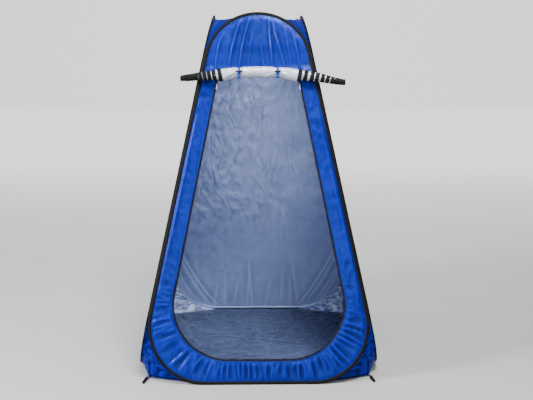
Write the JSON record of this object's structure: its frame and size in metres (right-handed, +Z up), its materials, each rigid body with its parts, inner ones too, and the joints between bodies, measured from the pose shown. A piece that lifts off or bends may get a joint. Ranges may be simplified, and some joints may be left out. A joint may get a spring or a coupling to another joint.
{
  "type": "privacy shower tent",
  "caption": "Pop-up privacy tent: tapered four-hoop cabin with sewn floor, roof and corner gussets, and a zipped doorway whose flap is rolled up above it.",
  "frame": {"origin": "middle of the floor, on the ground", "axes": "+Z up, the doorway faces -Y, +X to the right of someone looking in through it"},
  "size_m": [1.3014, 1.3014, 1.8998],
  "materials": {
    "hoop_wire": "drawn spring steel",
    "hoop_ferrule": "crimped steel tube",
    "sleeve": "black woven binding",
    "panel": "blue silver-backed polyester taffeta",
    "roof": "thin blue polyester",
    "floor": "dark slate-blue coated oxford",
    "gusset": "blue polyester taffeta",
    "zip_tape": "black woven tape",
    "zip_coil": "nylon coil",
    "flap": "silver-coated polyester",
    "flap_zip": "black woven tape",
    "tie": "blue tape",
    "toggle": "moulded plastic",
    "slider": "cast zinc",
    "pull": "white moulded pull",
    "loop": "black webbing"
  },
  "bodies": {
    "front": {"front_hoop_wire": "hoop_wire", "front_hoop_ferrule": "hoop_ferrule", "front_sleeve": "sleeve", "front_panel": "panel", "roof_panel": "roof", "floor_sheet": "floor", "gusset_front_left": "gusset", "gusset_front_right": "gusset", "door_zip_tape": "zip_tape", "door_zip_coil": "zip_coil"},
    "left": {"left_hoop_wire": "hoop_wire", "left_hoop_ferrule": "hoop_ferrule", "left_sleeve": "sleeve", "left_panel": "panel", "gusset_back_left": "gusset"},
    "right": {"right_hoop_wire": "hoop_wire", "right_hoop_ferrule": "hoop_ferrule", "right_sleeve": "sleeve", "right_panel": "panel", "gusset_back_right": "gusset"},
    "back": {"back_hoop_wire": "hoop_wire", "back_hoop_ferrule": "hoop_ferrule", "back_sleeve": "sleeve", "back_panel": "panel"},
    "door": {"door_flap_roll": "flap", "flap_zip_left": "flap_zip", "flap_zip_right": "flap_zip", "door_tie_left": "tie", "door_tie_right": "tie"},
    "toggle_left": {"toggle_left": "toggle"},
    "slider_left": {"zip_slider_left": "slider"},
    "pull_left": {"zip_pull_left": "pull"},
    "loop_front_left": {"peg_loop_front_left": "loop"},
    "loop_back_left": {"peg_loop_back_left": "loop"},
    "toggle_right": {"toggle_right": "toggle"},
    "slider_right": {"zip_slider_right": "slider"},
    "pull_right": {"zip_pull_right": "pull"},
    "loop_front_right": {"peg_loop_front_right": "loop"},
    "loop_back_right": {"peg_loop_back_right": "loop"}
  },
  "joints": [
    {"name": "front_left_fold", "type": "hinge", "parent": "front", "child": "left", "pos_m": [-0.64254, -0.64254, 0], "axis": [-0.205, -0.205, -0.957], "range_deg": [0, 92], "stiffness_Nm_per_rad": 6, "springref_deg": -28.65, "deforming": ["roof_panel", "floor_sheet", "gusset_front_left", "gusset_front_right", "gusset_back_left", "gusset_back_right"]},
    {"name": "front_right_fold", "type": "hinge", "parent": "front", "child": "right", "pos_m": [0.64254, -0.64254, 0], "axis": [0.205, -0.205, -0.957], "range_deg": [0, 90.45], "deforming": ["roof_panel", "floor_sheet", "gusset_front_left", "gusset_front_right", "gusset_back_left", "gusset_back_right"]},
    {"name": "back_right_fold", "type": "hinge", "parent": "right", "child": "back", "pos_m": [0.64254, 0.64254, 0], "axis": [-0.205, -0.205, 0.957], "range_deg": [0, 92.01], "deforming": ["roof_panel", "floor_sheet", "gusset_front_left", "gusset_front_right", "gusset_back_left", "gusset_back_right"]},
    {"name": "door_lift", "type": "hinge", "parent": "front", "child": "door", "pos_m": [0, -0.30408, 1.60055], "axis": [-1, 0, 0], "range_deg": [0, 60]},
    {"name": "zip_slider_left_slide", "type": "slide", "parent": "front", "child": "slider_left", "axis": [-0.1939, -0.2055, -0.9593], "range_m": [0, 1.05]},
    {"name": "zip_pull_left_swing", "type": "hinge", "parent": "slider_left", "child": "pull_left", "pos_m": [-0.21457, -0.32612, 1.52345], "axis": [-0.981, 0.0406, 0.1896], "range_deg": [0, 80]},
    {"name": "toggle_left_turn", "type": "hinge", "parent": "door", "child": "toggle_left", "pos_m": [-0.1, -0.37615, 1.59113], "axis": [0, -0.9778, 0.2095], "range_deg": [0, 90]},
    {"name": "peg_loop_front_left_lift", "type": "hinge", "parent": "front", "child": "loop_front_left", "pos_m": [-0.58545, -0.54797, 0.002], "axis": [-0.9885, 0.1513, 0], "range_deg": [0, 90]},
    {"name": "peg_loop_back_left_lift", "type": "hinge", "parent": "back", "child": "loop_back_left", "pos_m": [-0.58545, 0.54797, 0.002], "axis": [0.9885, 0.1513, 0], "range_deg": [0, 90]},
    {"name": "zip_slider_right_slide", "type": "slide", "parent": "front", "child": "slider_right", "axis": [0.1939, -0.2055, -0.9593], "range_m": [0, 1.05]},
    {"name": "zip_pull_right_swing", "type": "hinge", "parent": "slider_right", "child": "pull_right", "pos_m": [0.21457, -0.32612, 1.52345], "axis": [-0.981, -0.0406, -0.1896], "range_deg": [0, 80]},
    {"name": "toggle_right_turn", "type": "hinge", "parent": "door", "child": "toggle_right", "pos_m": [0.1, -0.37615, 1.59113], "axis": [0, -0.9778, 0.2095], "range_deg": [0, 90]},
    {"name": "peg_loop_front_right_lift", "type": "hinge", "parent": "front", "child": "loop_front_right", "pos_m": [0.58545, -0.54797, 0.002], "axis": [-0.9885, -0.1513, 0], "range_deg": [0, 90]},
    {"name": "peg_loop_back_right_lift", "type": "hinge", "parent": "back", "child": "loop_back_right", "pos_m": [0.58545, 0.54797, 0.002], "axis": [0.9885, -0.1513, 0], "range_deg": [0, 90]}
  ],
  "couplings": [
    {"joint": "front_right_fold", "follows": "front_left_fold", "ratio": 0.983},
    {"joint": "back_right_fold", "follows": "front_left_fold", "ratio": 1}
  ]
}
